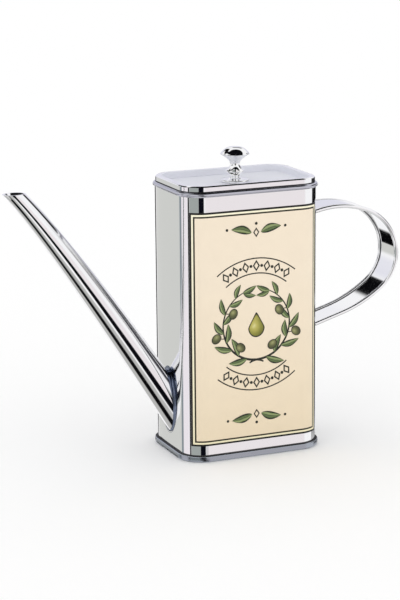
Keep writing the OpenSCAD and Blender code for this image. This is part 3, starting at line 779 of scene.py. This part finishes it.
def buildDesign():
    d = design
    draw = np.random.default_rng(11)
    cx, cy = d["centre"]
    leaves, olives, strokes = [], [], []
    low, high = d["twigAngles"]
    for side in (1, -1):
        # twig: an arc of the ring that thins towards its tip
        t = np.radians(np.linspace(low, high, 60))
        curve = np.stack([cx + side * d["ring"] * np.cos(t), cy + d["ring"] * np.sin(t)], -1)
        strokes.append(strokePatch(curve, np.linspace(1.25, 0.5, 60)))
        for k, angle in enumerate(np.arange(low + 13, high + 1, d["leafStep"])):
            a = radians(angle)
            grown = 1 - 0.28 * k / 9
            heading = degrees(a) + 90
            lean = (34 if k % 2 else -30) + draw.uniform(-5, 5)
            place = np.array([cx + side * d["ring"] * np.cos(a), cy + d["ring"] * np.sin(a)])
            angleOf = heading + lean if side > 0 else 180 - heading - lean
            bend = (0.7 if k % 2 else -0.7) * side
            leaves.append(leafPatch(place, angleOf, d["leafLength"] * grown * draw.uniform(0.94, 1.06),
                                    d["leafWidth"] * grown, bend))
        # the end leaf goes on along the twig
        a = radians(high)
        heading = high + 90
        leaves.append(leafPatch((cx + side * d["ring"] * np.cos(a), cy + d["ring"] * np.sin(a)),
                                heading if side > 0 else 180 - heading, 8.2, 2.9, 0.5 * side))
        for k, angle in enumerate(d["oliveAngles"]):
            a = radians(angle)
            reach = d["ring"] + (-4.1 if k != 1 else 4.4)
            spot = np.array([cx + side * reach * np.cos(a), cy + reach * np.sin(a)])
            foot = np.array([cx + side * d["ring"] * np.cos(a - 0.08), cy + d["ring"] * np.sin(a - 0.08)])
            strokes.append(strokePatch(np.linspace(foot, spot, 6), 0.45))
            olives.append(roundPatch(spot, side * (angle + (0 if k != 1 else 60)), d["olive"]))
    # crossing of the two twigs at the foot of the ring
    for side in (1, -1):
        a = radians(low)
        start = np.array([cx + side * d["ring"] * np.cos(a), cy + d["ring"] * np.sin(a)])
        f = np.linspace(0, 1, 12)[:, None]
        strokes.append(strokePatch(start + f * [-side * 5.2, 0] + f * f * [0, -1.4], np.linspace(1.25, 0.8, 12)))
    # bowed rows over and under the ring: two fine lines with lozenges and dots between them
    for count, middle in zip(d["lozenges"], (90.0, 270.0)):
        for radius in d["rows"]:
            t = np.radians(np.linspace(middle - 39, middle + 39, 60))
            strokes.append(strokePatch(np.stack([cx + radius * np.cos(t), cy + radius * np.sin(t)], -1), 0.62))
        between = sum(d["rows"]) / 2
        for k in range(2 * count - 1):
            angle = middle + (k - count + 1) * 33.5 / (count - 1)
            a = radians(angle)
            place = (cx + between * np.cos(a), cy + between * np.sin(a))
            if k % 2 == 0:
                strokes.append(lozengePatch(place, angle, (3.0, 1.95), 0.42))
            else:
                strokes.append(roundPatch(place, 0, (0.8, 0.8)))
    # small pairs of level leaves with a lozenge, at the top and the foot
    for height, up in ((d["topLeaves"], 1), (d["lowLeaves"], -1)):
        for side in (1, -1):
            leaves.append(leafPatch((side * 2.6, height), 90 - side * 78 * 1.0 if up > 0 else 270 + side * 78, 11.5, 4.3, 0.8 * side * up))
            strokes.append(roundPatch((side * 16.2, height + 2.3 * up), 0, (0.7, 0.7)))
        strokes.append(lozengePatch((0, height), 0, (1.7, 2.5), 0.4))
        strokes.append(roundPatch((0, height + up * 4.6), 0, (0.75, 0.75)))
    inkMaterial = printInk("darkPrintingInk", plainColour)
    printSheet("labelLines", strokes, d["ink"], inkMaterial)
    printSheet("labelLeaves", leaves, d["ink"] + 0.08, printInk("leafGreenInk", leafColour))
    printSheet("labelOlives", olives, d["ink"] + 0.15, printInk("oliveInk", ballColour(
        [(0.0, "B9B98A"), (0.25, "8E8F5C"), (0.55, "5F613C"), (1.0, "33361F")])))
    drop = [roundPatch((cx, cy - 1.8), 0, (4.6, 5.0), 0.62)]
    printSheet("labelDrop", drop, d["ink"], printInk("oilGoldInk", ballColour(
        [(0.0, "E9E3A6"), (0.3, "BDB45C"), (0.65, "8D8A36"), (1.0, "55571F")])))


buildDesign()
print("label made")

# screw and washer keep their CAD shapes
for name in ("knob_screw", "knob_washer"):
    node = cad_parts[name]
    node.data.materials.clear()
    node.data.materials.append(satinSteel)

# studio: floor, world and camera
camera = dict(place=(-401.53, -907.03, 305.65), scale=1.06, yaw=22.867, pitch=13.205, roll=-0.498, focal=2067.03, longSide=600)


def buildCamera():
    c = camera
    y, p, r = radians(c["yaw"]), radians(c["pitch"]), radians(c["roll"])
    look = Vector((np.sin(y) * np.cos(p), np.cos(y) * np.cos(p), -np.sin(p)))
    right = Vector((np.cos(y), -np.sin(y), 0))
    up = right.cross(look)
    side = np.cos(r) * right + np.sin(r) * up
    top = -np.sin(r) * right + np.cos(r) * up
    data = bpy.data.cameras.new("camera")
    data.sensor_width = 36.0
    data.lens = c["focal"] / c["longSide"] * 36.0
    data.clip_end = 20
    rig = bpy.data.objects.new("camera", data)
    turn = Matrix((side, top, -look)).transposed().to_4x4()
    rig.matrix_world = Matrix.Translation(Vector(c["place"]) * c["scale"] * mm) @ turn
    scene.collection.objects.link(rig)
    scene.camera = rig


def buildFloor():
    mesh = bpy.data.meshes.new("floor")
    mesh.from_pydata([(-6, -6, -0.0002), (6, -6, -0.0002), (6, 6, -0.0002), (-6, 6, -0.0002)], [], [(0, 1, 2, 3)])
    floor = addPiece("floor", mesh)
    material = bpy.data.materials.new("whiteSweep")
    material.use_nodes = True
    tree = material.node_tree
    tree.nodes.clear()
    path = addNode(tree, "ShaderNodeLightPath")
    paint = addNode(tree, "ShaderNodeBsdfDiffuse", {"Color": (1.0, 1.0, 1.0, 1)})
    clear = addNode(tree, "ShaderNodeBsdfTransparent")
    mix = addNode(tree, "ShaderNodeMixShader", {0: path.outputs["Is Glossy Ray"], 1: paint.outputs["BSDF"], 2: clear.outputs["BSDF"]})
    addNode(tree, "ShaderNodeOutputMaterial", {"Surface": mix.outputs["Shader"]})
    mesh.materials.append(material)


# the studio that polished metal sees: a pale tent under a dark ceiling, with cards set round it. Each card has the
# compass angle and height of its middle, its half sizes, the softness of its edges and its colour; 0 degrees is
# behind the can, 90 its handle side, 180 the camera side, 270 the spout side
cards = [
    dict(at=(0, -52), half=(181, 11), soft=(1, 6), colour="BCBCBA"),
    dict(at=(23, 12), half=(60, 12), soft=(60, 10), colour="E3E3EE"),
    dict(at=(157, -13), half=(18, 12), soft=(14, 10), colour="F0EAEC"),
    dict(at=(330, -13), half=(13, 7), soft=(8, 6), colour="D2D3CF"),
    dict(at=(288, -13), half=(24, 8), soft=(12, 8), colour="F1EBF0"),
    dict(at=(310, -13), half=(8, 9), soft=(5, 5), colour="899297"),
    dict(at=(230, -13), half=(23, 9), soft=(3, 5), colour="A2A8A5"),
    dict(at=(258, -13), half=(4, 9), soft=(3, 5), colour="101010"),
    dict(at=(194, -2), half=(13, 20), soft=(3, 3), colour="0A0B14"),
    dict(at=(182, -29), half=(14, 11), soft=(4, 4), colour="0A0B10"),
    dict(at=(40, -13), half=(51, 4), soft=(4, 2), colour="050507"),
    dict(at=(86, 10), half=(32, 6), soft=(14, 6), colour="6C6C70"),
    dict(at=(268, 11), half=(24, 5), soft=(12, 5), colour="3C3C42"),
    dict(at=(88, 20), half=(15, 8), soft=(7, 4), colour="0A0A0C"),
    dict(at=(31, 33), half=(11, 6), soft=(3, 2), colour="08080A"),
    dict(at=(342, -23.5), half=(11, 5.3), soft=(3, 1.3), colour="08080A"),
    dict(at=(259, -56), half=(27, 5), soft=(12, 3), colour="0A0A0C"),
    dict(at=(353, 38), half=(9, 13), soft=(3, 3), colour="08080A"),
    dict(at=(326, 46), half=(22, 10), soft=(4, 3), colour="08080A"),
    dict(at=(283, 62), half=(32, 11), soft=(4, 3), colour="08080A"),
]
# the dark opening of the tent overhead: where its middle lies, its radius and softness in degrees
opening = dict(at=(176, 74), radius=38, soft=4, colour="0B0B0F")


def buildWorld():
    world = bpy.data.worlds.new("studio")
    scene.world = world
    world.use_nodes = True
    tree = world.node_tree
    tree.nodes.clear()
    ray = addNode(tree, "ShaderNodeTexCoord")
    split = addNode(tree, "ShaderNodeSeparateXYZ", {"Vector": ray.outputs["Generated"]})
    compass = addNode(tree, "ShaderNodeMath", {0: split.outputs["X"], 1: split.outputs["Y"]}, operation="ARCTAN2")
    heightOf = addNode(tree, "ShaderNodeMath", {0: split.outputs["Z"]}, operation="ARCSINE")
    turn = addNode(tree, "ShaderNodeMath", {0: compass.outputs["Value"]}, operation="DEGREES")
    rise = addNode(tree, "ShaderNodeMath", {0: heightOf.outputs["Value"]}, operation="DEGREES")
    level = addNode(tree, "ShaderNodeRGB")
    level.outputs[0].default_value = linear("FCFCFD")
    level = level.outputs[0]
    for card in cards:
        distances = []
        for value, middle, half, soft in zip((turn, rise), card["at"], card["half"], card["soft"]):
            away = addNode(tree, "ShaderNodeMath", {0: value.outputs["Value"], 1: float(middle)}, operation="SUBTRACT")
            around = addNode(tree, "ShaderNodeMath", {0: away.outputs["Value"], 1: 180.0, 2: -180.0}, operation="WRAP")
            size = addNode(tree, "ShaderNodeMath", {0: around.outputs["Value"]}, operation="ABSOLUTE")
            distances.append(addNode(tree, "ShaderNodeMapRange", {
                "Value": size.outputs["Value"], "From Min": half + soft / 2, "From Max": half - soft / 2},
                interpolation_type="SMOOTHSTEP"))
        cover = addNode(tree, "ShaderNodeMath", {0: distances[0].outputs["Result"], 1: distances[1].outputs["Result"]},
                        operation="MULTIPLY")
        level = addNode(tree, "ShaderNodeMix", {0: cover.outputs["Value"], 6: level, 7: linear(card["colour"])},
                        data_type="RGBA").outputs[2]
    a, e = radians(opening["at"][0]), radians(opening["at"][1])
    near = addNode(tree, "ShaderNodeVectorMath", {0: ray.outputs["Generated"], 1: (
        np.sin(a) * np.cos(e), np.cos(a) * np.cos(e), np.sin(e))}, operation="DOT_PRODUCT")
    inside = addNode(tree, "ShaderNodeMapRange", {
        "Value": near.outputs["Value"], "From Min": np.cos(radians(opening["radius"] + opening["soft"] / 2)),
        "From Max": np.cos(radians(opening["radius"] - opening["soft"] / 2))}, interpolation_type="SMOOTHSTEP")
    level = addNode(tree, "ShaderNodeMix", {0: inside.outputs["Result"], 6: level, 7: linear(opening["colour"])},
                    data_type="RGBA").outputs[2]
    path = addNode(tree, "ShaderNodeLightPath")
    plain = addNode(tree, "ShaderNodeBackground", {"Color": (1, 1, 1, 1), "Strength": 1.0})
    studio = addNode(tree, "ShaderNodeBackground", {"Color": level, "Strength": 1.0})
    mix = addNode(tree, "ShaderNodeMixShader", {0: path.outputs["Is Glossy Ray"], 1: plain.outputs["Background"],
                                               2: studio.outputs["Background"]})
    addNode(tree, "ShaderNodeOutputWorld", {"Surface": mix.outputs["Shader"]})


buildCamera()
buildFloor()
buildWorld()
scene.view_settings.view_transform = "Standard"
print("studio made")
